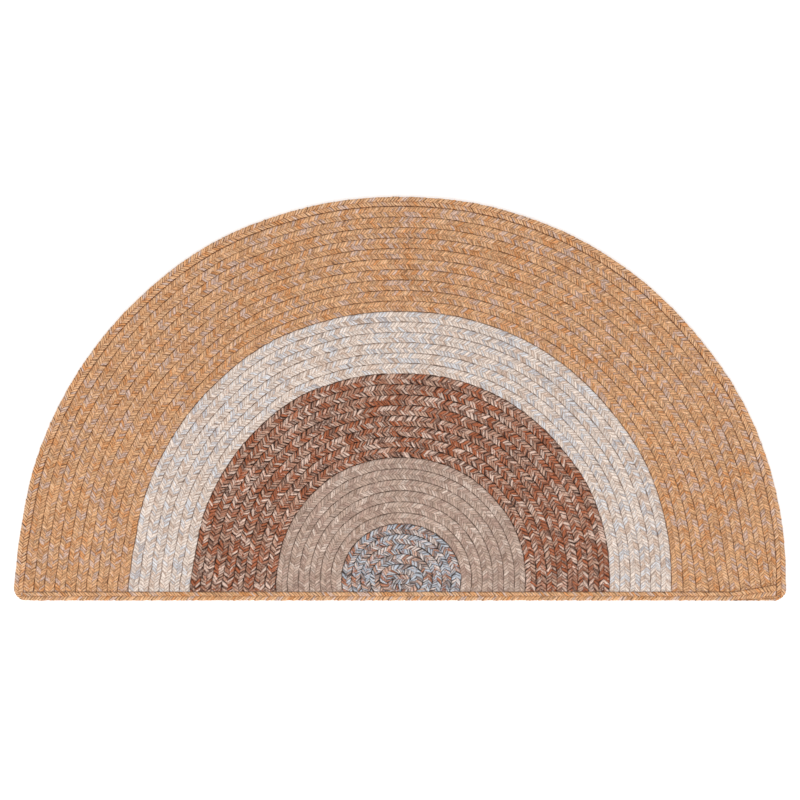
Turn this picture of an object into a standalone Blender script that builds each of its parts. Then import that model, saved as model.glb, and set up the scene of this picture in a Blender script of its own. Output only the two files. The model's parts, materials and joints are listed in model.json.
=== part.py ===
"""Half-moon rug: a round coil of flat braid, sewn row to row, cut straight across and edged with braid.

Metres, +Z up. The rug lies flat on Z = 0 with its straight side towards -Y and its arc towards +Y. It is
modelled round the coil's centre, then moved so that the origin is the bottom centre of the whole rug.
"""

import math

import bmesh
import bpy

# The braid: a flattened tube, lower at the seams between rows
BRAID_THICK = 0.0095
SEAM_HEIGHT = 0.0058
SHOULDER_HEIGHT = 0.0088
SHOULDER_SHARE = 0.26

# The coil, before and after it is cut
DISC_RADIUS = 0.5785
CUT_BELOW_CENTRE = 0.0185
GAP = 0.0003
STEP_DEG = 6.0

# Each band of the coil, from the middle out
BANDS = [
    # name, outer radius, rows of braid
    ("core_coil", 0.0834, 5),
    ("taupe_band", 0.1840, 6),
    ("rust_band", 0.3118, 8),
    ("cream_band", 0.4053, 6),
    ("gold_band", 0.5637, 10),
]
CORE_STEP_DEG = 1.5 * STEP_DEG
HAIRPIN_RADIUS = 0.0075

# How far the hand-laid rows stand outside or inside a true circle
UNEVENNESS = [
    # degrees round from +X, offset in metres
    (-90, 0.0008),
    (-2, 0.0008),
    (10, 0.0012),
    (25, 0.0015),
    (40, -0.0010),
    (60, -0.0003),
    (75, -0.0011),
    (90, -0.0023),
    (105, -0.0003),
    (120, 0.0026),
    (135, 0.0008),
    (150, 0.0000),
    (162, 0.0002),
    (171, -0.0009),
    (177, 0.0014),
    (182, 0.0057),
    (270, 0.0057),
]
EVEN_WITHIN = 0.090
UNEVEN_BEYOND = 0.300
OVAL_START = 0.0128
OVAL_FADE = 0.120

# At the right end the gold rows drift outwards, and the last of them is pinched against the edging
DRIFT = 0.0098
DRIFT_FROM_DEG = 10.2
DRIFT_FULL_DEG = -1.8
DRIFT_GROWS_OVER = 0.055
PINCH_OVER = 0.019

# The edging braid, which runs round the arc, turns at the left and comes back along the cut
STRAIGHT_WIDTH = 0.0137
STRAIGHT_STEPS = 8
LEFT_TURN = 0.0190
LEFT_END_DEG = 181.5
RIGHT_TURN = 0.0180
TURN_STEPS = 5
PIVOT_RADIUS = 0.0004

# Its two ends are lapped at the right corner, the arc's end tapering out below the straight row
LAP_LENGTH = 0.062
LAP_STEPS = 6
LAP_RISE = 0.0105
TAIL_TIP = 0.0020
TAIL_WIDTH = 0.0075

# The section of the edging braid
SECTION = [
    # share of the width from the outer side, share of the thickness
    (0.00, 0.20),
    (0.00, 0.55),
    (0.20, 0.92),
    (0.50, 1.00),
    (0.80, 0.92),
    (1.00, 0.60),
    (1.00, 0.18),
    (0.86, 0.00),
    (0.14, 0.00),
]

# The yarns' colours (linear) and finish
YARN_ROUGHNESS = 0.9
YARN_METALLIC = 0.0
COLOURS = {
    "core_coil": (0.330, 0.320, 0.330),
    "taupe_band": (0.420, 0.310, 0.240),
    "rust_band": (0.260, 0.120, 0.080),
    "cream_band": (0.680, 0.580, 0.500),
    "gold_band": (0.600, 0.340, 0.160),
    "edging_braid": (0.600, 0.330, 0.150),
}
SHARP_DEG = 50.0


def clear_scene():
    for thing in list(bpy.data.objects):
        bpy.data.objects.remove(thing, do_unlink=True)


def yarn(name):
    """A piece's own material."""
    material = bpy.data.materials.new(name + "_yarn")
    material.use_nodes = True
    shader = material.node_tree.nodes["Principled BSDF"]
    shader.inputs["Base Color"].default_value = (*COLOURS[name], 1.0)
    shader.inputs["Roughness"].default_value = YARN_ROUGHNESS
    shader.inputs["Metallic"].default_value = YARN_METALLIC
    return material


def eased(x):
    """A smooth rise from 0 to 1."""
    x = min(max(x, 0.0), 1.0)
    return x * x * (3.0 - 2.0 * x)


def between(low, high, share):
    return low + (high - low) * share


def uneven(degrees):
    """The offset of the outer rows at one angle, eased between the rows of UNEVENNESS."""
    for (start, low), (end, high) in zip(UNEVENNESS, UNEVENNESS[1:]):
        if degrees <= end:
            return between(low, high, eased((degrees - start) / (end - start)))
    return UNEVENNESS[-1][1]


def drift(radius, degrees):
    """How far a gold row has drifted outwards as it nears its right end."""
    inner, outer = BANDS[-2][1], BANDS[-1][1]
    near_end = (DRIFT_FROM_DEG - degrees) / (DRIFT_FROM_DEG - DRIFT_FULL_DEG)
    grown = eased((radius - inner) / DRIFT_GROWS_OVER) * eased((outer - radius) / PINCH_OVER)
    return DRIFT * grown * min(max(near_end, 0.0), 1.0) ** 2


def laid(radius, degrees):
    """Where a point of the ideal round coil lies in the hand-laid one: oval at the start, uneven outside."""
    spread = eased((radius - EVEN_WITHIN) / (UNEVEN_BEYOND - EVEN_WITHIN))
    oval = OVAL_START * math.exp(-radius / OVAL_FADE) * eased(radius / (2 * HAIRPIN_RADIUS))
    turn = math.radians(degrees)
    out = radius + spread * uneven(degrees) + oval * math.cos(turn) ** 2 + drift(radius, degrees)
    return out * math.cos(turn), out * math.sin(turn)


def new_object(name, builder):
    mesh = bpy.data.meshes.new(name)
    builder.to_mesh(mesh)
    builder.free()
    made = bpy.data.objects.new(name, mesh)
    bpy.context.collection.objects.link(made)
    return made


def lofted(name, rings, closes_round):
    """One closed skin through rings of points, each ring a section of the piece."""
    builder = bmesh.new()
    sections = [[builder.verts.new(point) for point in ring] for ring in rings]
    for ring, following in zip(sections, sections[1:] + sections[:1]):
        if following is sections[0] and not closes_round:
            builder.faces.new(ring)
            builder.faces.new(following)
            continue
        for i in range(len(ring)):
            builder.faces.new((ring[i - 1], ring[i], following[i], following[i - 1]))
    bmesh.ops.remove_doubles(builder, verts=builder.verts, dist=0.00001)
    bare = [edge for edge in builder.edges if not edge.link_faces]
    bmesh.ops.delete(builder, geom=bare, context="EDGES")
    bmesh.ops.recalc_face_normals(builder, faces=builder.faces)
    return new_object(name, builder)


def finish(made):
    """The piece's material, and smooth shading across its soft edges."""
    made.data.materials.append(yarn(made.name))
    made.data.shade_smooth()
    made.data.set_sharp_from_angle(angle=math.radians(SHARP_DEG))


def ribbed_profile(inner, outer, rows):
    """A band's section as (radius, height): each row of braid rises to a crown between its two seams."""
    points = []
    start = inner
    if inner == 0.0:
        points += [(0.0, BRAID_THICK), (SHOULDER_SHARE * outer / rows, SHOULDER_HEIGHT)]
        start = HAIRPIN_RADIUS
    pitch = (outer - start) / rows
    for row in range(rows):
        seam = start + row * pitch
        points += [
            (seam, SEAM_HEIGHT),
            (seam + SHOULDER_SHARE * pitch, SHOULDER_HEIGHT),
            (seam + 0.5 * pitch, BRAID_THICK),
            (seam + (1.0 - SHOULDER_SHARE) * pitch, SHOULDER_HEIGHT),
        ]
    return points + [(outer, SEAM_HEIGHT), (outer, 0.0), (inner, 0.0)]


def ring_at(profile, degrees):
    return [(*laid(radius, degrees), height) for radius, height in profile]


def lap_start():
    return laid(DISC_RADIUS - RIGHT_TURN, 0.0)[0] - LAP_LENGTH


def lap_end():
    return laid(DISC_RADIUS - RIGHT_TURN, 0.0)[0]


def lap_share(x):
    """From 0 where the lap begins to 1 at the right corner."""
    return min(max((x - lap_start()) / (lap_end() - lap_start()), 0.0), 1.0)


def cut_side(x):
    """The cut across the coil: straight, and rising a little where the edging is lapped."""
    return LAP_RISE * lap_share(x) - CUT_BELOW_CENTRE


def cut_off():
    """A block whose upper side is the cut, for what the maker cuts away."""
    reach = 1.2 * DISC_RADIUS
    builder = bmesh.new()
    outline = [(x, cut_side(x)) for x in (-reach, lap_start(), lap_end(), reach)]
    outline += [(reach, -reach), (-reach, -reach)]
    face = builder.faces.new([builder.verts.new((x, y, -BRAID_THICK)) for x, y in outline])
    grown = bmesh.ops.extrude_face_region(builder, geom=[face])["geom"]
    upper = [corner for corner in grown if isinstance(corner, bmesh.types.BMVert)]
    bmesh.ops.translate(builder, verts=upper, vec=(0.0, 0.0, 3 * BRAID_THICK))
    bmesh.ops.recalc_face_normals(builder, faces=builder.faces)
    made = new_object("cut_off", builder)
    made.hide_render = True
    made.display_type = "WIRE"
    return made


def cut_across(made, block):
    cut = made.modifiers.new("cut_across", "BOOLEAN")
    cut.operation = "DIFFERENCE"
    cut.object = block


def band(name, inner, outer, rows, block):
    """One colour of the coil: its ribbed section carried round the centre, then cut across."""
    profile = ribbed_profile(inner, outer, rows)
    if inner == 0.0:
        angles = [step * CORE_STEP_DEG for step in range(round(360 / CORE_STEP_DEG))]
    else:
        below = math.degrees(math.asin(CUT_BELOW_CENTRE / inner)) / STEP_DEG
        spare = math.ceil(below + 0.5)
        angles = [step * STEP_DEG for step in range(-spare, round(180 / STEP_DEG) + spare + 1)]
    made = lofted(name, [ring_at(profile, turn) for turn in angles], inner == 0.0)
    cut_across(made, block)
    return made


def edging_stations():
    """The edging braid's (outer point, inner point) pairs, from its tapered tail to its other end."""
    side = -CUT_BELOW_CENTRE - GAP - STRAIGHT_WIDTH
    coil_edge = BANDS[-1][1] + GAP
    steps = range(LAP_STEPS)
    lap_xs = [between(lap_start(), lap_end(), step / LAP_STEPS) for step in steps]
    turns = [step / TURN_STEPS for step in range(TURN_STEPS + 1)]

    def tail(x):
        return side + between(TAIL_TIP, TAIL_WIDTH, lap_share(x))

    stations = [((x, side), (x, tail(x))) for x in lap_xs]

    heel_x = laid(coil_edge, 0.0)[0]
    heel_y = side + TAIL_WIDTH
    turn_x = lap_end()
    turn_y = side + RIGHT_TURN
    for share in turns:
        angle = math.radians(between(-90, 0, share))
        outer = (turn_x + RIGHT_TURN * math.cos(angle), turn_y + RIGHT_TURN * math.sin(angle))
        along = between(turn_x, heel_x, min(2 * share, 1.0))
        up = between(heel_y, turn_y, max(2 * share - 1.0, 0.0))
        stations.append((outer, (along, up)))

    for step in range(round(180 / STEP_DEG) + 1):
        turn = step * STEP_DEG
        stations.append((laid(DISC_RADIUS, turn), laid(coil_edge, turn)))

    pivot_x = laid(coil_edge, LEFT_END_DEG)[0]
    pivot_y = -CUT_BELOW_CENTRE - GAP
    centre_x = laid(DISC_RADIUS, LEFT_END_DEG)[0] + LEFT_TURN
    centre_y = side + LEFT_TURN
    for share in turns:
        angle = math.radians(between(180, 270, share))
        outer = (centre_x + LEFT_TURN * math.cos(angle), centre_y + LEFT_TURN * math.sin(angle))
        inner_x = pivot_x + PIVOT_RADIUS * (1.0 + math.cos(angle))
        inner_y = pivot_y + PIVOT_RADIUS * (1.0 + math.sin(angle))
        stations.append((outer, (inner_x, inner_y)))

    for step in range(1, STRAIGHT_STEPS):
        x = between(centre_x, lap_start() - LAP_LENGTH / LAP_STEPS, step / (STRAIGHT_STEPS - 1))
        stations.append(((x, side), (x, cut_side(x) - GAP)))
    end_x = laid(coil_edge, 0.0)[0] - GAP
    for x in lap_xs + [lap_end(), end_x]:
        stations.append(((x, tail(x) + GAP), (x, cut_side(x) - GAP)))
    return stations


def edging():
    """The edging braid, one length whose section follows its stations."""
    rings = []
    for outer, inner in edging_stations():
        ring = []
        for across, up in SECTION:
            x = between(outer[0], inner[0], across)
            y = between(outer[1], inner[1], across)
            ring.append((x, y, up * BRAID_THICK))
        rings.append(ring)
    return lofted("edging_braid", rings, False)


def seat_on_origin(pieces, block):
    """Moves the rug, with the block that cuts it, so that the bottom centre of its box is the origin."""
    bpy.context.view_layer.update()
    seen = bpy.context.evaluated_depsgraph_get()
    points = [corner.co.copy() for made in pieces for corner in made.evaluated_get(seen).data.vertices]
    middle = [(min(p[axis] for p in points) + max(p[axis] for p in points)) / 2 for axis in (0, 1)]
    for made in pieces + [block]:
        made.location = (-middle[0], -middle[1], 0.0)


def main():
    clear_scene()
    block = cut_off()
    pieces = []
    inner = 0.0
    for name, outer, rows in BANDS:
        pieces.append(band(name, inner, outer, rows, block))
        inner = outer + GAP
    pieces.append(edging())
    seat_on_origin(pieces, block)
    for made in pieces:
        finish(made)
    print("rug laid:", [made.name for made in pieces])


main()
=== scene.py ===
"""Half-moon rug: flat braid coiled in rows, sewn row to row, cut straight across and edged with braid.

Metres, +Z up. The rug lies on the floor with its straight side towards -Y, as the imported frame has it.
"""

import json
import math

import bmesh
import bpy
import numpy as np
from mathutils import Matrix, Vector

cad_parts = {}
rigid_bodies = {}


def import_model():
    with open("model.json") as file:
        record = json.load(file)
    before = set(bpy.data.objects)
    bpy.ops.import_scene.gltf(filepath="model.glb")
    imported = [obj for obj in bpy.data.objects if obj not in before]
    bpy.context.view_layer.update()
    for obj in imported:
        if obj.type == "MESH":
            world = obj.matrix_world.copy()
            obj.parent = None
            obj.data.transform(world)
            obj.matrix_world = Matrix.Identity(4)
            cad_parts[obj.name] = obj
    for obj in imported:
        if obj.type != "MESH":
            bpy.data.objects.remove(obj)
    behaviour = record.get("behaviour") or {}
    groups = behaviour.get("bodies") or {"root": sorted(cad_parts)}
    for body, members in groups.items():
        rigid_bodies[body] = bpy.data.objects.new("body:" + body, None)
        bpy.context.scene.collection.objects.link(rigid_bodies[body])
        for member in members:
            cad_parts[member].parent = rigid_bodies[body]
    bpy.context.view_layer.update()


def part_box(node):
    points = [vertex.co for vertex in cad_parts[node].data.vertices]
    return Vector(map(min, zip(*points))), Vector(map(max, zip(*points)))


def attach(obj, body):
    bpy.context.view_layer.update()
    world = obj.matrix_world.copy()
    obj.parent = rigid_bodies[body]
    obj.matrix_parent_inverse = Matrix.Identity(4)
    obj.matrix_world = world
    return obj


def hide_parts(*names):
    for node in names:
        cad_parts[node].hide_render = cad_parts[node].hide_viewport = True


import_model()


# The lay of the coil. The maker starts with a short hairpin of braid, winds row on row round it by hand, so
# that the rows stray a little from true circles, and cuts the finished coil straight across below its
# middle. Towards the cut the outermost rows swing outwards.
CUT_BELOW_CENTRE = 0.0185
GAP = 0.0003
HAIRPIN_RADIUS = 0.0075
DISC_RADIUS = 0.5785
BANDS = {
    # name: (inner radius, outer radius, rows of braid)
    "core_coil": (0.0, 0.0834, 5),
    "taupe_band": (0.0837, 0.1840, 6),
    "rust_band": (0.1843, 0.3118, 8),
    "cream_band": (0.3121, 0.4053, 6),
    "gold_band": (0.4056, 0.5637, 10),
}
UNEVENNESS = [
    # degrees round from +X, how far the outer rows stray outwards
    (-90, 0.0008),
    (-2, 0.0008),
    (10, 0.0012),
    (25, 0.0015),
    (40, -0.0010),
    (60, -0.0003),
    (75, -0.0011),
    (90, -0.0023),
    (105, -0.0003),
    (120, 0.0026),
    (135, 0.0008),
    (150, 0.0000),
    (162, 0.0002),
    (171, -0.0009),
    (177, 0.0014),
    (182, 0.0057),
    (270, 0.0057),
]
EVEN_WITHIN = 0.090
UNEVEN_BEYOND = 0.300
OVAL_START = 0.0128
OVAL_FADE = 0.120
DRIFT = 0.0098
DRIFT_FROM_DEG = 10.2
DRIFT_FULL_DEG = -1.8
DRIFT_GROWS_OVER = 0.055
PINCH_OVER = 0.019

core_low, core_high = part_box("core_coil")
COIL_X = (core_low.x + core_high.x) / 2
COIL_Y = core_low.y + CUT_BELOW_CENTRE


def eased(x):
    """A smooth rise from 0 to 1."""
    x = min(max(x, 0.0), 1.0)
    return x * x * (3.0 - 2.0 * x)


def between(low, high, share):
    return low + (high - low) * share


def uneven(degrees):
    for (start, low), (end, high) in zip(UNEVENNESS, UNEVENNESS[1:]):
        if degrees <= end:
            return between(low, high, eased((degrees - start) / (end - start)))
    return UNEVENNESS[-1][1]


def drift(radius, degrees):
    """How far a gold row has drifted outwards as it nears its right end."""
    inner, outer, rows = BANDS["gold_band"]
    near_end = (DRIFT_FROM_DEG - degrees) / (DRIFT_FROM_DEG - DRIFT_FULL_DEG)
    grown = eased((radius - inner) / DRIFT_GROWS_OVER) * eased((outer - radius) / PINCH_OVER)
    return DRIFT * grown * min(max(near_end, 0.0), 1.0) ** 2


def laid(radius, degrees):
    """Where a point of an ideal round coil lies in the hand-laid one, from the coil's centre."""
    spread = eased((radius - EVEN_WITHIN) / (UNEVEN_BEYOND - EVEN_WITHIN))
    oval = OVAL_START * math.exp(-radius / OVAL_FADE) * eased(radius / (2 * HAIRPIN_RADIUS))
    turn = math.radians(degrees)
    out = radius + spread * uneven(degrees) + oval * math.cos(turn) ** 2 + drift(radius, degrees)
    return out * math.cos(turn), out * math.sin(turn)


# The lap. The edging braid's two ends are lapped at the right corner, where its tapered tail lies outside
# its other end. That lifts the cut a little there, and the rows of the coil are cut to that line.
RIGHT_TURN = 0.0180
LAP_LENGTH = 0.062
LAP_RISE = 0.0105
HALVINGS = 40
lap_end = laid(DISC_RADIUS - RIGHT_TURN, 0.0)[0]
lap_start = lap_end - LAP_LENGTH


def lap_share(x):
    return min(max((x - lap_start) / LAP_LENGTH, 0.0), 1.0)


def cut_side(x):
    return LAP_RISE * lap_share(x) - CUT_BELOW_CENTRE


def end_angle(radius, beyond_left):
    """Where a row runs into the edging: at its right end, or at its left one. It is found by halving the
    way between an angle well inside the rug and one well past the cut."""
    kept, lost = (150.0, 270.0) if beyond_left else (30.0, -90.0)
    for halving in range(HALVINGS):
        middle = (kept + lost) / 2
        x, y = laid(radius, middle)
        if y > cut_side(x) - GAP:
            kept = middle
        else:
            lost = middle
    return kept


# The body of the braid. Each row is a flattened tube of plaited yarn over a soft core, thinner at the seams
# where it is sewn to its neighbours. One closed ribbed piece for each colour carries the yarn that shows.
MID_HEIGHT = 0.00475
ROW_SECTION = [
    # share across the row, height above or below the middle
    (0.00, 0.0010),
    (0.07, 0.0020),
    (0.20, 0.0026),
    (0.50, 0.0028),
    (0.80, 0.0026),
    (0.93, 0.0020),
]
CENTRE_SECTION = [
    # share of the hairpin's radius, height above or below the middle
    (0.00, 0.0028),
    (0.60, 0.0026),
    (0.86, 0.0020),
]
CUT_WITHIN = 0.000001
MERGED_WITHIN = 0.00001
MAP_MARGIN = 0.02
MAP_LENGTH = 0.93
MAP_HEIGHT = 0.96
MAP_OF_ENDS = 0.965


def new_piece(name, builder):
    """A piece whose place is in its mesh, moved from the coil's centre to the rug's own frame."""
    bmesh.ops.translate(builder, verts=builder.verts, vec=(COIL_X, COIL_Y, 0.0))
    mesh = bpy.data.meshes.new(name)
    builder.to_mesh(mesh)
    builder.free()
    piece = bpy.data.objects.new(name, mesh)
    bpy.context.scene.collection.objects.link(piece)
    return piece


def close_cut(builder, point, across):
    """Trims what lies beyond a straight cut and closes each cut end."""
    everything = builder.verts[:] + builder.edges[:] + builder.faces[:]
    cut = bmesh.ops.bisect_plane(
        builder, geom=everything, plane_co=point, plane_no=across, dist=CUT_WITHIN, clear_outer=True
    )
    ends = [part for part in cut["geom_cut"] if isinstance(part, bmesh.types.BMEdge)]
    bmesh.ops.edgeloop_fill(builder, edges=ends)


def skin(rings, closes_round):
    """One closed skin through rings of points, each point with its place on the bake map."""
    builder = bmesh.new()
    bake_map = builder.loops.layers.uv.new("OFBake")
    count = len(rings[0])
    sections = [[builder.verts.new(point) for point in ring] for ring in rings]
    spans = len(rings) if closes_round else len(rings) - 1
    for i in range(spans):
        ring, following = sections[i], sections[(i + 1) % len(rings)]
        for j in range(count):
            k = (j + 1) % count
            face = builder.faces.new((ring[j], ring[k], following[k], following[j]))
            corners = ((i, j), (i, j + 1), (i + 1, j + 1), (i + 1, j))
            for loop, (along, round_) in zip(face.loops, corners):
                far = MAP_LENGTH * along / spans
                loop[bake_map].uv = (MAP_MARGIN + far, MAP_MARGIN + MAP_HEIGHT * round_ / count)
    if not closes_round:
        for ring, low in ((sections[0], 0.1), (sections[-1], 0.6)):
            face = builder.faces.new(ring)
            for place, loop in enumerate(face.loops):
                loop[bake_map].uv = (MAP_OF_ENDS + MAP_MARGIN * (place % 2), low + 0.3 * place / count)
    for face in builder.faces:
        face.smooth = True
    return builder


def ribbed_section(name):
    """A band's section as (radius, height): up over every row's back, then round under it. It reaches as far
    as its neighbours, so that no light shows between them."""
    inner, outer, rows = BANDS[name]
    inner, outer = max(inner - GAP, 0.0), outer + GAP
    first = HAIRPIN_RADIUS if inner == 0.0 else inner
    pitch = (outer - first) / rows
    upper = [(first + (row + share) * pitch, rise) for row in range(rows) for share, rise in ROW_SECTION]
    if inner == 0.0:
        upper = [(share * first, rise) for share, rise in CENTRE_SECTION] + upper
    upper.append((outer, ROW_SECTION[0][1]))
    return upper + [(radius, -rise) for radius, rise in reversed(upper)]


def band_body(name, step_deg):
    """A band's closed ribbed body, its rings running from the cut at the right to the cut at the left."""
    section = ribbed_section(name)
    whole = BANDS[name][0] == 0.0
    cut_at = -CUT_BELOW_CENTRE - GAP
    steps = round((360 if whole else 180) / step_deg)
    ends = {radius: (-90.0, 270.0) if whole else (end_angle(radius, False), end_angle(radius, True))
            for radius, rise in section}
    rings = []
    for step in range(steps if whole else steps + 1):
        ring = []
        for radius, rise in section:
            angle = between(*ends[radius], step / steps)
            ring.append((*laid(radius, angle), MID_HEIGHT + rise))
        rings.append(ring)
    builder = skin(rings, whole)
    if whole:
        bmesh.ops.remove_doubles(builder, verts=builder.verts, dist=MERGED_WITHIN)
        close_cut(builder, (0.0, cut_at, 0.0), (0.0, -1.0, 0.0))
    bmesh.ops.recalc_face_normals(builder, faces=builder.faces)
    return new_piece(name + "_body", builder)


# The yarn that shows. Every yarn of the plait comes up at the middle of the row, crosses half of its width
# at a slant and dives into the seam, in two columns that mesh like a zip. The core and the rust band are
# plaited loosely, from round yarns. The others are plaited tight, so that their yarns meet in sharp creases.
YARN_SLANT = 1.30
YARN_MIDDLE = 0.45
UPPER_YARN = [
    # share of the half row from its middle, height above the middle of the rug, share of the full width,
    # degrees by which the yarn's back leans outwards there, how strongly its two sides fall away
    (-0.20, 0.0018, 0.80, 0, 1.0),
    (0.00, 0.0035, 1.02, 0, 1.2),
    (0.28, 0.0047, 1.28, 0, 0.9),
    (0.70, 0.0049, 1.36, 0, 0.6),
    (0.93, 0.0046, 1.34, 0, 0.4),
    (1.01, 0.0016, 1.24, 0, 0.3),
]
UNDER_YARN = [
    # the same columns, for the yarns below, which the floor presses flatter
    (-0.10, 0.0031, 0.90, 0, 1.0),
    (0.48, 0.0044, 1.20, 0, 0.8),
    (1.0, 0.0010, 1.00, 0, 0.8),
]
HALF_ROW = 0.0080
KINDS = 8
BACK_STRAYS = 0.45
SWAY = 0.10
PLUMPER = 0.12
CREASED_FROM = 0.8
ROOT_ON_MAP = 0.16
TIP_ON_MAP = 0.96


def crossing(name, column, rings, flank, creased, seed):
    """One crossing of a yarn, in units of its width along the row and of half the row across it. Each ring
    has three corners: one side of the yarn, its back and its other side."""
    chance = np.random.default_rng(seed)
    builder = bmesh.new()
    bake_map = builder.loops.layers.uv.new("OFBake")
    valley = builder.verts.layers.float.new("valley")
    lift = chance.uniform(-BACK_STRAYS, BACK_STRAYS, len(rings))
    sway = chance.uniform(-SWAY, SWAY, len(rings))
    plump = chance.uniform(1.0 - PLUMPER, 1.0 + PLUMPER)
    sections = []
    for (across, rise, width, lean, falls), stray, raised in zip(rings, sway, lift):
        up, out = math.cos(math.radians(lean)), math.sin(math.radians(lean)) / HALF_ROW
        ring = []
        for side in (-1, 0, 1):
            along = YARN_SLANT * (YARN_MIDDLE - across) + side * 0.5 * width * plump + stray
            swell = flank * falls * (-1.0 if side else raised)
            point = builder.verts.new((along, column * (across + swell * out), rise + swell * up))
            point[valley] = abs(side)
            ring.append(point)
        sections.append(ring)
    last = len(rings) - 1
    for i in range(last):
        ring, following = sections[i], sections[i + 1]
        for place in range(3):
            beyond = (place + 1) % 3
            face = builder.faces.new((ring[place], ring[beyond], following[beyond], following[place]))
            for loop, (row, shift) in zip(face.loops, ((i, 0), (i, 1), (i + 1, 1), (i + 1, 0))):
                if beyond == 0:
                    loop[bake_map].uv = (0.06 + 0.88 * row / last, 0.03 + 0.05 * shift)
                else:
                    up_the_map = between(ROOT_ON_MAP, TIP_ON_MAP, row / last)
                    loop[bake_map].uv = (0.06 + 0.44 * (place + shift), up_the_map)
    for ring, start in ((sections[0], 0.06), (sections[-1], 0.54)):
        face = builder.faces.new(ring)
        for place, loop in enumerate(face.loops):
            loop[bake_map].uv = (start + 0.15 * place, 0.10 + 0.03 * (place % 2))
    for face in builder.faces:
        face.smooth = True
    bmesh.ops.recalc_face_normals(builder, faces=builder.faces)
    for edge in builder.edges:
        edge.smooth = not creased or edge.calc_face_angle(0.0) < CREASED_FROM
    mesh = bpy.data.meshes.new(name)
    builder.to_mesh(mesh)
    builder.free()
    return bpy.data.objects.new(name, mesh)


def crossings(name, column, rings, flank, creased, seed):
    """A few crossings of one kind, a little different from each other."""
    kept = bpy.data.collections.new(name)
    for kind in range(KINDS):
        kept.objects.link(crossing(f"{name}_{kind}", column, rings, flank, creased, seed + kind))
    return kept


def yarn_sets(kind, upper, under, flank, creased, seed):
    """The four sets that a plait is made from: two columns above and two below. flank is how far a yarn's
    two sides lie below its back, which is less in a tight plait than in a loose one."""
    return {
        "Upper left yarns": crossings(kind + "_upper_left", 1, upper, flank, creased, seed),
        "Upper right yarns": crossings(kind + "_upper_right", -1, upper, flank, creased, seed + 10),
        "Under left yarns": crossings(kind + "_under_left", 1, under, flank, creased, seed + 20),
        "Under right yarns": crossings(kind + "_under_right", -1, under, flank, creased, seed + 30),
    }


loose_yarns = yarn_sets("loose", UPPER_YARN, UNDER_YARN, 0.0008, False, 11)
tight_yarns = yarn_sets("tight", UPPER_YARN, UNDER_YARN, 0.0004, True, 111)


class Value:
    """A number in a node tree. Sums written with it add the tree's Math nodes."""

    def __init__(self, tree, socket):
        self.tree = tree
        self.socket = socket

    def math(self, operation, *others):
        """One Math node on this number, and on others where it takes more."""
        made = self.tree.nodes.new("ShaderNodeMath")
        made.operation = operation
        for socket, given in zip(made.inputs, (self, *others)):
            if isinstance(given, Value):
                self.tree.links.new(given.socket, socket)
            else:
                socket.default_value = given
        return Value(self.tree, made.outputs[0])

    def __add__(self, other):
        return self.math("ADD", other)

    def __radd__(self, other):
        return self.math("ADD", other)

    def __sub__(self, other):
        return self.math("SUBTRACT", other)

    def __rsub__(self, other):
        return self.math("MULTIPLY", -1.0).math("ADD", other)

    def __mul__(self, other):
        return self.math("MULTIPLY", other)

    def __rmul__(self, other):
        return self.math("MULTIPLY", other)

    def __truediv__(self, other):
        return self.math("DIVIDE", other)

    def __mod__(self, other):
        return self.math("MODULO", other)

    def __lt__(self, other):
        return self.math("LESS_THAN", other)

    def held(self):
        """Kept between 0 and 1."""
        return self.math("MAXIMUM", 0.0).math("MINIMUM", 1.0)


class Bench:
    """A node tree in the making."""

    def __init__(self, tree):
        self.tree = tree

    def add(self, kind, settings=None, *in_order, **given):
        """A node of one kind: its settings first, then the values or links of its sockets, in their order
        or by name."""
        made = self.tree.nodes.new(kind)
        for name, setting in (settings or {}).items():
            if name == "stops":
                self.stops(made.color_ramp, setting)
            else:
                setattr(made, name, setting)
        for socket, value in zip(made.inputs, in_order):
            self.fill(socket, value)
        for name, value in given.items():
            wanted = name.replace("_", " ").lower()
            socket = next(s for s in made.inputs if s.enabled and s.name.lower() == wanted)
            self.fill(socket, value)
        return made

    def fill(self, socket, value):
        """Gives a socket its value, or its link or links."""
        for each in value if isinstance(value, list) else [value]:
            if isinstance(each, Value):
                self.tree.links.new(each.socket, socket)
            elif isinstance(each, bpy.types.NodeSocket):
                self.tree.links.new(each, socket)
            else:
                socket.default_value = each

    def stops(self, ramp, stops):
        """Sets a ramp's stops, each a place and a colour."""
        while len(ramp.elements) > 1:
            ramp.elements.remove(ramp.elements[-1])
        ramp.elements[0].position = stops[0][0]
        ramp.elements[0].color = (*stops[0][1], 1.0)
        for place, colour in stops[1:]:
            ramp.elements.new(place).color = (*colour, 1.0)

    def out(self, made, name=None):
        """A node's result: the first that it gives, or the one of that name."""
        for socket in made.outputs:
            if socket.enabled and (name is None or socket.name == name):
                return socket

    def value(self, made, name=None):
        """A node's result as a number to reckon with."""
        return Value(self.tree, self.out(made, name))

    def sum(self, first, second):
        """Two vectors added."""
        return self.out(self.add("ShaderNodeVectorMath", {"operation": "ADD"}, first, second))

    def scaled(self, vector, scale):
        """A vector or a colour times a number."""
        settings = {"operation": "SCALE"}
        return self.out(self.add("ShaderNodeVectorMath", settings, vector=vector, scale=scale))

    def mixed(self, factor, a, b):
        """Two colours mixed."""
        return self.out(self.add("ShaderNodeMix", {"data_type": "RGBA"}, factor=factor, a=a, b=b))

    def kept(self, name, kind="FLOAT"):
        """Something kept on the geometry under a name."""
        return self.value(self.add("GeometryNodeInputNamedAttribute", {"data_type": kind}, name=name))

    def keep(self, geometry, name, value, kind, domain):
        """The geometry with something more kept on it under a name."""
        settings = {"data_type": kind, "domain": domain}
        stored = self.add(
            "GeometryNodeStoreNamedAttribute", settings, geometry=geometry, name=name, value=value
        )
        return self.out(stored)


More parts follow.
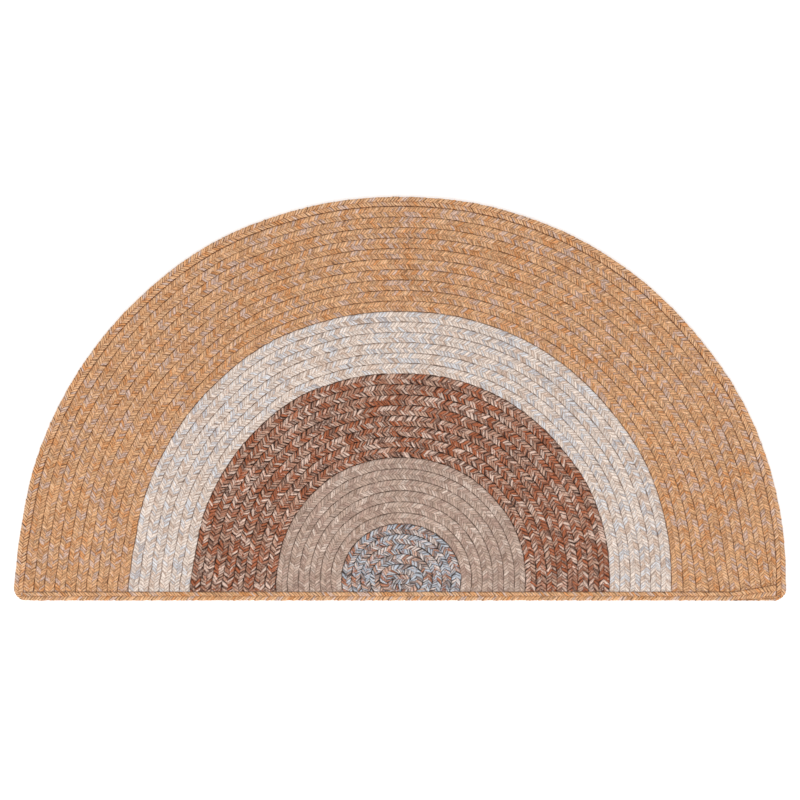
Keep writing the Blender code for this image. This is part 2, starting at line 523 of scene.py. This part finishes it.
def new_tree(name, sizes, things):
    """A geometry tree with named sizes and things to use, and what its group input gives."""
    tree = bpy.data.node_groups.new(name, "GeometryNodeTree")
    tree.interface.new_socket("Geometry", in_out="INPUT", socket_type="NodeSocketGeometry")
    for size in sizes:
        tree.interface.new_socket(size, in_out="INPUT", socket_type="NodeSocketFloat")
    for thing, kind in things.items():
        tree.interface.new_socket(thing, in_out="INPUT", socket_type=kind)
    tree.interface.new_socket("Geometry", in_out="OUTPUT", socket_type="NodeSocketGeometry")
    return tree, Bench(tree), tree.nodes.new("NodeGroupInput")


RESTS_AT = 0.0001
STRAYS = {
    # how a yarn strays in a loose plait: (least, most, seed)
    "along": (-0.22, 0.22, 400),
    "up": (-0.0003, 0.0003, 500),
    "across": (-0.03, 0.03, 1000),
    "rolled": (-0.12, 0.12, 100),
    "tipped": (-0.05, 0.05, 200),
    "turned": (-0.20, 0.20, 300),
    "longer": (-0.14, 0.22, 600),
    "wider": (-0.02, 0.02, 700),
    "thicker": (-0.06, 0.06, 800),
}
# the four sets take turns along a row, and some yarns share their shade in a pair or in a run
SETS = 4.0
PAIR = 2 * SETS
RUN = 6 * SETS
IN_RUNS = 0.06
IN_RUNS_OR_PAIRS = 0.30
# added to a whole number, so that it stays the same one when it is cut down
TO_KEEP_WHOLE = 0.25


def plaiting_tree():
    """Yarns set side by side along a straight row, above and below, then bent to lie where the row lies.
    Some share their shade with the next yarn of their column, and a few with a whole run of yarns."""
    sizes = ["Stitch length", "Looseness", "Mid height"]
    things = {name: "NodeSocketCollection" for name in loose_yarns}
    things["Yarn"] = "NodeSocketMaterial"
    tree, bench, given = new_tree("plaiting", sizes, things)
    stitch = Value(tree, given.outputs["Stitch length"])
    loose = Value(tree, given.outputs["Looseness"])
    vector = {"data_type": "FLOAT_VECTOR"}
    decimal = {"data_type": "FLOAT"}

    lines = bench.out(bench.add("GeometryNodeMeshToCurve", mesh=given.outputs["Geometry"]))
    row_length = bench.value(bench.add("GeometryNodeSplineLength"), "Length")
    lines = bench.keep(lines, "row_length", row_length, "FLOAT", "POINT")
    row = bench.value(bench.add("GeometryNodeCurveOfPoint"), "Curve Index")
    lines = bench.keep(lines, "row", row, "FLOAT", "POINT")
    by_length = {"mode": "LENGTH"}
    spaced = bench.out(bench.add("GeometryNodeResampleCurve", by_length, curve=lines, length=stitch))
    share_of_row = bench.value(bench.add("GeometryNodeSplineParameter"), "Factor")
    reach = share_of_row * bench.kept("row_length")
    spaced = bench.keep(spaced, "reach", reach, "FLOAT", "POINT")
    points = bench.out(bench.add("GeometryNodeCurveToPoints", {"mode": "EVALUATED"}, curve=spaced))
    index = bench.value(bench.add("GeometryNodeInputIndex"))
    size = bench.add("GeometryNodeAttributeDomainSize", {"component": "POINTCLOUD"}, geometry=points)
    columns = (bench.value(size) * SETS).math("SQRT").math("CEIL")

    sides = [
        # which yarns, how far they are rolled over, how far along the row in stitches
        ("Upper left yarns", 0.0, 0.0),
        ("Upper right yarns", 0.0, 0.5),
        ("Under left yarns", math.pi, 0.0),
        ("Under right yarns", math.pi, 0.5),
    ]
    laid_in = []
    for number, (which, rolled, along) in enumerate(sides):
        def stray(way):
            low, high, seed = STRAYS[way]
            random = bench.add("FunctionNodeRandomValue", decimal, min=low, max=high, seed=seed + number)
            return bench.value(random) * loose

        start = bench.kept("reach") + stitch * (stray("along") + along)
        shift = stray("across") * bench.kept("half_row")
        place = bench.add("ShaderNodeCombineXYZ", x=start, y=shift, z=stray("up"))
        moved = bench.add("GeometryNodeSetPosition", geometry=points, position=bench.out(place))
        yarn_number = index * SETS + float(number)
        numbered = bench.keep(bench.out(moved), "yarn_number", yarn_number, "FLOAT", "POINT")
        turn = bench.add(
            "ShaderNodeCombineXYZ", x=stray("rolled") + rolled, y=stray("tipped"), z=stray("turned")
        )
        scale = bench.add(
            "ShaderNodeCombineXYZ",
            x=stitch * (1.0 + stray("longer")),
            y=bench.kept("half_row") * (1.0 + stray("wider")),
            z=1.0 + stray("thicker"),
        )
        patterns = bench.add(
            "GeometryNodeCollectionInfo",
            collection=given.outputs[which],
            separate_children=True,
            reset_children=True,
        )
        whole_number = {"data_type": "INT"}
        pick = bench.add("FunctionNodeRandomValue", whole_number, min=0, max=KINDS - 1, seed=900 + number)
        placed = bench.add(
            "GeometryNodeInstanceOnPoints",
            points=numbered,
            instance=bench.out(patterns),
            pick_instance=True,
            instance_index=bench.out(pick),
            rotation=bench.out(bench.add("FunctionNodeEulerToRotation", euler=bench.out(turn))),
            scale=bench.out(scale),
        )
        laid_in.append(bench.out(placed))
    joined = bench.add("GeometryNodeJoinGeometry", geometry=laid_in)
    whole = bench.out(bench.add("GeometryNodeRealizeInstances", geometry=bench.out(joined)))

    straight = bench.add("ShaderNodeSeparateXYZ", vector=bench.out(bench.add("GeometryNodeInputPosition")))
    settings = {"mode": "LENGTH", "data_type": "FLOAT_VECTOR"}

    def on_row(name):
        """Where the row's middle is, or what half its width is, at a yarn's point."""
        kept = bench.add("GeometryNodeInputNamedAttribute", vector, name=name)
        sampled = bench.add(
            "GeometryNodeSampleCurve",
            settings,
            curves=lines,
            value=bench.out(kept),
            length=bench.value(straight, "X"),
            curve_index=bench.kept("row") + TO_KEEP_WHOLE,
        )
        return bench.out(sampled, "Value")

    share_across = bench.value(straight, "Y") / bench.kept("half_row")
    sideways = bench.scaled(on_row("across"), share_across)
    height = bench.value(straight, "Z") + Value(tree, given.outputs["Mid height"])
    upwards = bench.add("ShaderNodeCombineXYZ", z=height.math("MAXIMUM", RESTS_AT))
    bent = bench.sum(bench.sum(on_row("middle"), sideways), bench.out(upwards))
    whole = bench.out(bench.add("GeometryNodeSetPosition", geometry=whole, position=bent))

    yarn_number = bench.kept("yarn_number") + TO_KEEP_WHOLE

    def shade(number, seed):
        drawn = bench.add("FunctionNodeRandomValue", decimal, min=0.0, max=1.0, id=number, seed=seed)
        return bench.value(drawn)

    pair_number = (yarn_number / PAIR).math("FLOOR") * PAIR + yarn_number % SETS
    coin = shade(pair_number, 5)
    in_run = coin < IN_RUNS
    in_pair = (coin < IN_RUNS_OR_PAIRS) - in_run
    of_run = shade((yarn_number / RUN).math("FLOOR"), 8) * in_run
    of_pair = shade(pair_number, 7) * in_pair
    tone = of_run + of_pair + shade(yarn_number, 6) * (1.0 - in_run - in_pair)
    whole = bench.keep(whole, "tone", tone, "FLOAT", "FACE")
    whole = bench.keep(whole, "depth_of_shade", shade(yarn_number, 9), "FLOAT", "FACE")

    local_place = bench.add("GeometryNodeInputNamedAttribute", vector, name="OFBake")
    whole = bench.keep(whole, "lie", bench.out(local_place), "FLOAT2", "CORNER")
    cell = bench.add(
        "ShaderNodeCombineXYZ",
        x=yarn_number.math("FLOOR") % columns,
        y=(yarn_number / columns).math("FLOOR"),
    )
    lie = bench.add("GeometryNodeInputNamedAttribute", vector, name="lie")
    packed = bench.scaled(bench.sum(bench.out(lie), bench.out(cell)), columns.math("POWER", -1.0))
    whole = bench.keep(whole, "OFBake", packed, "FLOAT2", "CORNER")
    dressed = bench.add("GeometryNodeSetMaterial", geometry=whole, material=given.outputs["Yarn"])
    end = tree.nodes.new("NodeGroupOutput")
    tree.links.new(bench.out(dressed), end.inputs[0])
    return tree


plaiting = plaiting_tree()


def plait(name, lines, yarns, yarn, stitch, looseness):
    """Plaits yarns along rows as one plain mesh. A row is a list of (point to measure the stitches by,
    middle of the braid, its left edge) from its start to its end."""
    builder = bmesh.new()
    half_row = builder.verts.layers.float.new("half_row")
    middles = builder.verts.layers.float_vector.new("middle")
    sides = builder.verts.layers.float_vector.new("across")
    for line in lines:
        previous = None
        for measured, middle, left in line:
            point = builder.verts.new((*measured, 0.0))
            point[half_row] = math.dist(middle, left)
            point[middles] = (middle[0] + COIL_X, middle[1] + COIL_Y, 0.0)
            point[sides] = (left[0] - middle[0], left[1] - middle[1], 0.0)
            if previous:
                builder.edges.new((previous, point))
            previous = point
    piece = new_piece(name, builder)
    grown = piece.modifiers.new("plaiting", "NODES")
    grown.node_group = plaiting
    given = {
        "Stitch length": stitch,
        "Looseness": looseness,
        "Mid height": MID_HEIGHT,
        "Yarn": yarn,
        **yarns,
    }
    for socket in plaiting.interface.items_tree:
        if socket.in_out == "INPUT" and socket.name in given:
            grown[socket.identifier] = given[socket.name]
    bpy.context.view_layer.update()
    seen = bpy.context.evaluated_depsgraph_get()
    grown_piece = piece.evaluated_get(seen)
    made = bpy.data.meshes.new_from_object(grown_piece, preserve_all_data_layers=True, depsgraph=seen)
    piece.modifiers.clear()
    piece.data = made
    made.name = name
    made.materials.clear()
    made.materials.append(yarn)
    made.polygons.foreach_set("material_index", [0] * len(made.polygons))
    return piece


def trimmed(piece, slanted):
    """Cuts the plait's ends off along the coil's straight cut, and along the lap's slant where it has one."""
    builder = bmesh.new()
    builder.from_mesh(piece.data)
    close_cut(builder, (COIL_X, COIL_Y - CUT_BELOW_CENTRE, 0.0), (0.0, -1.0, 0.0))
    if slanted:
        point = (COIL_X + lap_start, COIL_Y - CUT_BELOW_CENTRE, 0.0)
        close_cut(builder, point, (LAP_RISE, -LAP_LENGTH, 0.0))
    builder.to_mesh(piece.data)
    builder.free()
    return piece


PAST_THE_CUT = 0.012
LINE_STEP = 0.006
FEWEST_STEPS = 24


def row_lines(name):
    """The middle lines of a band's rows, each run past the cut so that the trimming has something to cut."""
    inner, outer, count = BANDS[name]
    first = HAIRPIN_RADIUS if inner == 0.0 else inner
    pitch = (outer - first) / count
    lines = []
    for row in range(count):
        low = first + row * pitch
        middle = low + pitch / 2
        past = math.degrees(PAST_THE_CUT / middle)
        start, finish = -90.0, 270.0
        if middle > CUT_BELOW_CENTRE:
            start, finish = end_angle(middle, False) - past, end_angle(middle, True) + past
        steps = max(FEWEST_STEPS, round((finish - start) * math.radians(middle) / LINE_STEP))
        line = []
        for step in range(steps + 1):
            angle = between(start, finish, step / steps)
            near, far = laid(low, angle), laid(low + pitch, angle)
            halfway = ((near[0] + far[0]) / 2, (near[1] + far[1]) / 2)
            line.append((halfway, halfway, near))
        lines.append(line)
    return lines


# the grain of the yarn, and how much of each kind shows
FLUFF = {"scale": 520.0, "detail": 3.0}
FIBRES = {"scale": 1.0, "detail": 2.0}
SLUBS = {"scale": 1.0, "detail": 1.0}
FLECKS = {"scale": 1.0, "detail": 1.5}
PATCHES = {"scale": 430.0, "detail": 1.5}
CORE_FLUFF = {"scale": 700.0, "detail": 6.0, "roughness": 0.7}
OTHER_SHADE = 0.70
LIGHTNESS = 1.30
FLUFF_SHOWS = 1.30
FIBRES_SHOW = 0.50
PLY_GROOVE_SHADE = 0.10
ROOT_CLEARS = 7.5
TIP_CLEARS = 6.5
PARTING_NARROWS = 2.5


def yarn_material(name, stops, shadow, contrast, speckle, parting_shade):
    """Matt spun yarn: a shade for each yarn, with flecks and patches of others in it, paler on its back and
    darker where it meets the next one and at its root and tip, which is painted shade. shadow is the colour
    of that painted shade, contrast how far the shades differ in lightness, speckle how far a yarn's own
    fibres do, parting how dark the painted shade on the lines between the yarns is."""
    material = bpy.data.materials.new(name)
    material.use_nodes = True
    tree = material.node_tree
    bench = Bench(tree)
    shader = tree.nodes["Principled BSDF"]
    shader.inputs["Metallic"].default_value = 0.0
    shader.inputs["Specular IOR Level"].default_value = 0.25

    def on_yarn(attribute, result="Fac"):
        made = bench.add("ShaderNodeAttribute", {"attribute_name": attribute})
        return bench.value(made, result)

    def noise(vector, grain):
        return bench.value(bench.add("ShaderNodeTexNoise", vector=vector, **grain), "Fac")

    def noise_on_yarn(grain, x, y, z):
        place_on_yarn = bench.add("ShaderNodeCombineXYZ", x=x, y=y, z=z)
        return noise(bench.out(place_on_yarn), grain)

    def dyed(shade):
        ramp = bench.add("ShaderNodeValToRGB", {"stops": stops}, fac=shade)
        ramp.color_ramp.interpolation = "CONSTANT"
        return bench.out(ramp)

    tone = on_yarn("tone")
    depth = on_yarn("depth_of_shade")
    valley = on_yarn("valley")
    split = bench.add("ShaderNodeSeparateXYZ", vector=on_yarn("lie", "Vector"))
    across, along = bench.value(split, "X"), bench.value(split, "Y")
    place = bench.out(bench.add("ShaderNodeTexCoord"), "Object")

    # fluff stands off all of the braid, fibres are twisted along each yarn, slubs are thick places in it,
    # and flecks and patches are where another shade was spun in
    fluff = noise(place, FLUFF)
    fibre = noise_on_yarn(FIBRES, across * 13.0 + along * 12.0, along * 5.0, depth * 70.0)
    slub = noise_on_yarn(SLUBS, across * 8.0 + along * 7.0, along * 5.0 - across * 2.0, depth * 90.0)
    fleck = noise_on_yarn(FLECKS, across * 1.6, along * 3.2, depth * 50.0 + tone * 20.0)
    fleck = ((fleck - 0.52) * 6.0).held()
    patch = ((noise(place, PATCHES) - 0.50) * 8.0).held()
    spun = bench.mixed(fleck * OTHER_SHADE, dyed(tone), dyed((tone * 7.31 + 0.37).math("FRACT")))
    spun = bench.mixed(patch * OTHER_SHADE, spun, dyed((tone * 3.17 + 0.61).math("FRACT")))

    # the ply's twist also darkens the colour in lines along its grooves: painted shade, besides the bump it
    # raises
    ply = ((across * 5.0 + along * 7.0) * math.tau).math("SINE") * 0.5 + 0.5
    light = LIGHTNESS + (fluff - 0.5) * FLUFF_SHOWS + (fibre - 0.5) * FIBRES_SHOW + (depth - 0.5) * contrast
    light = (light + (slub - 0.5) * speckle) * (1.0 - ply * PLY_GROOVE_SHADE)
    # painted shade: at its root and tip, where it dives under its neighbours, and along its sides, where it
    # meets the next yarn, the yarn's colour is mixed towards the shadow colour
    root = ((along - ROOT_ON_MAP).math("ABSOLUTE") * ROOT_CLEARS).math("MINIMUM", 1.0)
    tip = ((along - TIP_ON_MAP).math("ABSOLUTE") * TIP_CLEARS).math("MINIMUM", 1.0)
    unshaded = (root * tip).math("MAXIMUM", 0.0) * (1.0 - valley.math("POWER", PARTING_NARROWS) * parting_shade)
    coloured = bench.mixed(unshaded, (*shadow, 1.0), bench.scaled(spun, light))
    tree.links.new(coloured, shader.inputs["Base Color"])
    tree.links.new((0.84 + fluff * 0.14).socket, shader.inputs["Roughness"])
    height = (1.0 - valley) * 0.25 + ply * 0.25 + fibre * 0.5 + fluff * 0.4
    bump = bench.add("ShaderNodeBump", strength=0.7, distance=0.0004, height=height)
    tree.links.new(bench.out(bump), shader.inputs["Normal"])
    return material


# painted shade: the inner body is given a dark colour for the gaps and grooves where the light hardly reaches
def inner_shade_material(name, colour):
    """The inner yarn seen between the crossings and in the seams, coloured as a dark shade of the yarn:
    painted shade.
    """
    material = bpy.data.materials.new(name)
    material.use_nodes = True
    tree = material.node_tree
    bench = Bench(tree)
    shader = tree.nodes["Principled BSDF"]
    shader.inputs["Metallic"].default_value = 0.0
    shader.inputs["Roughness"].default_value = 0.95
    shader.inputs["Specular IOR Level"].default_value = 0.15
    place = bench.out(bench.add("ShaderNodeTexCoord"), "Object")
    fluff = bench.value(bench.add("ShaderNodeTexNoise", vector=place, **CORE_FLUFF), "Fac")
    fluff = ((fluff - 0.5) * 3.0 + 0.4).held()
    paler = tuple(min(1.0, 2.0 * part) for part in colour)
    mixed = bench.mixed(fluff, (*colour, 1.0), (*paler, 1.0))
    tree.links.new(mixed, shader.inputs["Base Color"])
    bump = bench.add("ShaderNodeBump", strength=0.8, distance=0.0006, height=fluff)
    tree.links.new(bench.out(bump), shader.inputs["Normal"])
    return material


def dress(body, plaits, node):
    """Attaches a sheet of braid and its plaits to the body that carries them, and hides the part of the frame
    that it stands for.
    """
    for piece in (body, *plaits):
        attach(piece, "root")
    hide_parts(node)


# The core of the coil: five rows of pale blue, rust, pink and grey braid, loosely plaited from spun yarn and
# wound round the short straight start. Each row is sewn to the one before it.
core_yarn = yarn_material(
    "core_yarn",
    [
        (0.00, (0.421, 0.451, 0.502)),
        (0.34, (0.608, 0.522, 0.484)),
        (0.56, (0.264, 0.200, 0.181)),
        (0.71, (0.362, 0.147, 0.084)),
        (0.86, (0.490, 0.295, 0.218)),
    ],
    shadow=(0.19, 0.15, 0.13),
    contrast=0.46,
    speckle=0.0,
    parting_shade=0.85,
)
core_body = band_body("core_coil", 5.0)
# the inner colour is painted shade for the gaps between the crossings
core_body.data.materials.append(inner_shade_material("core_inner_shade", (0.14, 0.105, 0.095)))
START_HALF_LENGTH = 0.0125
START_HALF_WIDTH = 0.0073
start_line = []
for x in np.linspace(-START_HALF_LENGTH, START_HALF_LENGTH, 9):
    start_line.append(((x, 0.0), (x, 0.0), (x, START_HALF_WIDTH)))
core_lines = [start_line] + row_lines("core_coil")
core_plait = plait("core_coil_yarn", core_lines, loose_yarns, core_yarn, stitch=0.0041, looseness=1.0)
core_plait = trimmed(core_plait, slanted=False)
dress(core_body, [core_plait], "core_coil")


# The taupe band: six rows of soft taupe braid flecked with pinkish cream, tightly plaited. It is sewn on
# round the core, row to row.
taupe_yarn = yarn_material(
    "taupe_yarn",
    [
        (0.00, (0.429, 0.311, 0.248)),
        (0.34, (0.366, 0.248, 0.200)),
        (0.62, (0.479, 0.359, 0.296)),
        (0.84, (0.600, 0.480, 0.408)),
        (0.96, (0.276, 0.182, 0.136)),
    ],
    shadow=(0.20, 0.130, 0.098),
    contrast=0.40,
    speckle=2.2,
    parting_shade=1.00,
)
taupe_body = band_body("taupe_band", 4.0)
# the inner colour is painted shade for the gaps between the crossings
taupe_body.data.materials.append(inner_shade_material("taupe_inner_shade", (0.32, 0.225, 0.18)))
taupe_lines = row_lines("taupe_band")
taupe_plait = plait("taupe_band_yarn", taupe_lines, tight_yarns, taupe_yarn, stitch=0.0045, looseness=0.5)
taupe_plait = trimmed(taupe_plait, slanted=False)
dress(taupe_body, [taupe_plait], "taupe_band")


# The rust band: eight rows plaited loosely from rust, brown and pinkish beige yarns, the strongest mix of
# the rug, sewn on round the taupe band.
rust_yarn = yarn_material(
    "rust_yarn",
    [
        (0.00, (0.336, 0.102, 0.045)),
        (0.28, (0.345, 0.169, 0.111)),
        (0.50, (0.635, 0.463, 0.380)),
        (0.70, (0.489, 0.311, 0.230)),
        (0.90, (0.191, 0.107, 0.079)),
    ],
    shadow=(0.15, 0.060, 0.035),
    contrast=0.42,
    speckle=0.0,
    parting_shade=0.78,
)
rust_body = band_body("rust_band", 3.0)
# the inner colour is painted shade for the gaps between the crossings
rust_body.data.materials.append(inner_shade_material("rust_inner_shade", (0.100, 0.052, 0.040)))
rust_lines = row_lines("rust_band")
rust_plait = plait("rust_band_yarn", rust_lines, loose_yarns, rust_yarn, stitch=0.0045, looseness=1.1)
rust_plait = trimmed(rust_plait, slanted=False)
dress(rust_body, [rust_plait], "rust_band")


# The cream band: six rows of cream braid with pale blue grey and pinkish tan yarns in it, tightly plaited
# and sewn on round the rust band.
cream_yarn = yarn_material(
    "cream_yarn",
    [
        (0.00, (0.682, 0.588, 0.520)),
        (0.40, (0.629, 0.528, 0.459)),
        (0.60, (0.562, 0.562, 0.581)),
        (0.82, (0.510, 0.381, 0.303)),
        (0.95, (0.408, 0.388, 0.398)),
    ],
    shadow=(0.37, 0.235, 0.170),
    contrast=0.26,
    speckle=1.8,
    parting_shade=1.00,
)
cream_body = band_body("cream_band", 3.0)
# the inner colour is painted shade for the gaps between the crossings
cream_body.data.materials.append(inner_shade_material("cream_inner_shade", (0.48, 0.39, 0.335)))
cream_lines = row_lines("cream_band")
cream_plait = plait("cream_band_yarn", cream_lines, tight_yarns, cream_yarn, stitch=0.00475, looseness=0.7)
cream_plait = trimmed(cream_plait, slanted=False)
dress(cream_body, [cream_plait], "cream_band")


# The gold band: ten rows of tightly plaited gold and orange braid flecked with light grey, sewn on round
# the cream band. Its yarn is two pieces of five rows, cut on the slant where the edging is lapped.
gold_yarn = yarn_material(
    "gold_yarn",
    [
        (0.00, (0.582, 0.328, 0.168)),
        (0.32, (0.516, 0.278, 0.143)),
        (0.54, (0.611, 0.372, 0.212)),
        (0.76, (0.521, 0.227, 0.086)),
        (0.85, (0.513, 0.372, 0.311)),
    ],
    shadow=(0.235, 0.092, 0.038),
    contrast=0.34,
    speckle=3.0,
    parting_shade=1.00,
)
gold_body = band_body("gold_band", 3.0)
# the inner colour is painted shade for the gaps between the crossings
gold_body.data.materials.append(inner_shade_material("gold_inner_shade", (0.36, 0.195, 0.125)))
gold_lines = row_lines("gold_band")
gold_plaits = []
for part, lines in (("inner", gold_lines[:5]), ("outer", gold_lines[5:])):
    name = "gold_band_yarn_" + part
    gold_plait = plait(name, lines, tight_yarns, gold_yarn, stitch=0.00445, looseness=0.6)
    gold_plaits.append(trimmed(gold_plait, slanted=True))
dress(gold_body, gold_plaits, "gold_band")


# The edging: one length of the gold braid sewn on as the last row. From its tapered tail at the right it
# runs round the arc, turns the left corner, closes the cut along the straight side and laps over the tail.
STRAIGHT_WIDTH = 0.0137
LEFT_TURN = 0.0190
LEFT_END_DEG = 181.5
PIVOT_RADIUS = 0.0004
TAIL_TIP = 0.0020
TAIL_WIDTH = 0.0075
LAPPED = 0.0018
MEASURED_AT = 0.28
SMALLEST_STITCH = 0.55
LAP_STEPS = 10
CORNER_STEPS = 8
ARC_STEP_DEG = 1.5
SIDE_STEPS = 60
SIDE_STOPS_SHORT = 0.005
EDGING_SECTION = [
    # share of the width from the outer side, height from the middle
    (0.06, 0.0000),
    (0.09, 0.0016),
    (0.22, 0.0026),
    (0.50, 0.0030),
    (0.84, 0.0026),
    (0.97, 0.0018),
    (1.04, 0.0000),
    (0.97, -0.0018),
    (0.84, -0.0026),
    (0.50, -0.0030),
    (0.22, -0.0026),
    (0.09, -0.0016),
]


def edging_stations():
    """Pairs of an outer and an inner point along the braid, from its tapered tail to its other end."""
    side = -CUT_BELOW_CENTRE - GAP - STRAIGHT_WIDTH
    coil_edge = BANDS["gold_band"][1] + GAP

    def tail(x):
        return side + between(TAIL_TIP, TAIL_WIDTH, lap_share(x))

    lap_xs = [between(lap_start, lap_end, step / LAP_STEPS) for step in range(LAP_STEPS)]
    stations = [((x, side), (x, tail(x))) for x in lap_xs]
    heel_x = laid(coil_edge, 0.0)[0]
    for step in range(CORNER_STEPS + 1):
        angle = math.radians(between(-90, 0, step / CORNER_STEPS))
        outer = (lap_end + RIGHT_TURN * math.cos(angle), side + RIGHT_TURN * (1.0 + math.sin(angle)))
        turned = 2 * step / CORNER_STEPS
        along = between(lap_end, heel_x, min(turned, 1.0))
        up = between(side + TAIL_WIDTH, side + RIGHT_TURN, max(turned - 1.0, 0.0))
        stations.append((outer, (along, up)))
    for turn in np.arange(0.0, 180.01, ARC_STEP_DEG):
        stations.append((laid(DISC_RADIUS, turn), laid(coil_edge, turn)))
    pivot_x = laid(coil_edge, LEFT_END_DEG)[0]
    pivot_y = -CUT_BELOW_CENTRE - GAP
    centre_x = laid(DISC_RADIUS, LEFT_END_DEG)[0] + LEFT_TURN
    for step in range(CORNER_STEPS + 1):
        angle = math.radians(between(180, 270, step / CORNER_STEPS))
        right, up = math.cos(angle), 1.0 + math.sin(angle)
        outer = (centre_x + LEFT_TURN * right, side + LEFT_TURN * up)
        stations.append((outer, (pivot_x + PIVOT_RADIUS * (1.0 + right), pivot_y + PIVOT_RADIUS * up)))
    for step in range(1, SIDE_STEPS + 1):
        x = between(centre_x, lap_start - SIDE_STOPS_SHORT, step / SIDE_STEPS)
        stations.append(((x, side), (x, cut_side(x) - GAP)))
    for x in lap_xs + [lap_end, laid(coil_edge, 0.0)[0] - GAP]:
        stations.append(((x, tail(x) - LAPPED), (x, cut_side(x) - GAP)))
    return stations


def on_braid(station, share):
    """A point between the outer and the inner side of the edging."""
    outer, inner = station
    return between(outer[0], inner[0], share), between(outer[1], inner[1], share)


stations = edging_stations()
rings = []
for station in stations:
    rings.append([(*on_braid(station, share), MID_HEIGHT + rise) for share, rise in EDGING_SECTION])
edging_line = []
reached = 0.0
for station, previous in zip(stations, [stations[0]] + stations):
    step = math.dist(on_braid(station, MEASURED_AT), on_braid(previous, MEASURED_AT))
    narrow = math.dist(*station) / STRAIGHT_WIDTH
    reached += step / min(max(narrow, SMALLEST_STITCH), 1.0)
    edging_line.append(((reached, 0.0), on_braid(station, 0.5), station[1]))
edging_skin = skin(rings, False)
bmesh.ops.recalc_face_normals(edging_skin, faces=edging_skin.faces)
edging_body = new_piece("edging_braid_body", edging_skin)
edging_yarn = yarn_material(
    "edging_yarn",
    [
        (0.00, (0.666, 0.378, 0.195)),
        (0.32, (0.592, 0.322, 0.167)),
        (0.54, (0.697, 0.428, 0.246)),
        (0.78, (0.611, 0.271, 0.103)),
        (0.87, (0.590, 0.434, 0.363)),
    ],
    shadow=(0.30, 0.120, 0.052),
    contrast=0.30,
    speckle=1.2,
    parting_shade=0.66,
)
# the inner colour is painted shade for the gaps between the crossings
edging_body.data.materials.append(inner_shade_material("edging_inner_shade", (0.36, 0.195, 0.125)))
ROUND_THE_SIDE = [
    # the same columns as for the other yarns, here round the rug's outer side and under it
    (0.84, 0.0042, 1.24, 20, 0.8),
    (0.97, 0.0027, 1.22, 50, 1.0),
    (1.00, 0.0, 1.18, 90, 1.4),
    (0.96, -0.0027, 1.10, 130, 1.6),
    (0.78, -0.0042, 0.94, 160, 1.6),
]
edging_upper = UPPER_YARN[:3] + [(0.60, 0.0049, 1.32, 0, 0.7)] + ROUND_THE_SIDE
edging_under = UNDER_YARN[:2] + [(0.80, 0.0036, 1.00, 0, 0.8)]
edging_yarns = yarn_sets("edging", edging_upper, edging_under, 0.0005, False, 61)
edging_plait = plait(
    "edging_braid_yarn", [edging_line], edging_yarns, edging_yarn, stitch=0.00445, looseness=0.6
)
dress(edging_body, [edging_plait], "edging_braid")


# The single yarns of the three plaits have served as patterns for every crossing. No piece of the rug uses
# them any more, so they are put away.
for yarns in (loose_yarns, tight_yarns, edging_yarns):
    for kept in yarns.values():
        for pattern in list(kept.objects):
            bpy.data.objects.remove(pattern, do_unlink=True)
        bpy.data.collections.remove(kept)


# The room: a plain pale floor under the rug, soft light all round and a broad lamp before the straight
# side, and a camera straight above, far off, framed as the photograph is.
FLOOR_HALF = 6.0
FLOOR_HEIGHT = -0.0002
FLOOR_GLOW = 0.42
ROOM_LIGHT = 0.76
SENSOR_WIDTH = 36.0
FRAME_WIDTH = 1.2064
FRAME_CENTRE = (-0.00196, 0.2698)
CAMERA_HEIGHT = 6.0
floor_builder = bmesh.new()
corners = []
for x, y in ((-1, -1), (1, -1), (1, 1), (-1, 1)):
    corners.append(floor_builder.verts.new((x * FLOOR_HALF, y * FLOOR_HALF, FLOOR_HEIGHT)))
floor_builder.faces.new(corners)
floor = new_piece("floor", floor_builder)
paint = bpy.data.materials.new("pale_floor")
paint.use_nodes = True
paint_shader = paint.node_tree.nodes["Principled BSDF"]
paint_shader.inputs["Base Color"].default_value = (0.85, 0.85, 0.85, 1.0)
paint_shader.inputs["Roughness"].default_value = 0.9
paint_shader.inputs["Emission Color"].default_value = (1.0, 1.0, 1.0, 1.0)
paint_shader.inputs["Emission Strength"].default_value = FLOOR_GLOW
paint_shader.inputs["Specular IOR Level"].default_value = 0.1
floor.data.materials.append(paint)

world = bpy.data.worlds.new("soft_room")
bpy.context.scene.world = world
world.use_nodes = True
world.node_tree.nodes["Background"].inputs["Color"].default_value = (1.0, 1.0, 1.0, 1.0)
world.node_tree.nodes["Background"].inputs["Strength"].default_value = ROOM_LIGHT

LAMP_PLACE = (-0.15, -1.5, 2.6)
lamp = bpy.data.lights.new("broad_lamp", "AREA")
lamp.shape = "DISK"
lamp.size = 1.6
lamp.energy = 31.0
lamp_object = bpy.data.objects.new("broad_lamp", lamp)
lamp_object.location = LAMP_PLACE
lamp_object.rotation_euler = (math.atan2(-LAMP_PLACE[1], LAMP_PLACE[2]), 0.0, 0.0)
bpy.context.scene.collection.objects.link(lamp_object)

bpy.context.scene.view_settings.view_transform = "Standard"
camera = bpy.data.cameras.new("overhead")
camera.sensor_width = SENSOR_WIDTH
camera.lens = SENSOR_WIDTH * CAMERA_HEIGHT / FRAME_WIDTH
camera.clip_end = 50.0
camera_object = bpy.data.objects.new("overhead", camera)
camera_object.location = (COIL_X + FRAME_CENTRE[0], COIL_Y + FRAME_CENTRE[1], CAMERA_HEIGHT)
bpy.context.scene.collection.objects.link(camera_object)
bpy.context.scene.camera = camera_object
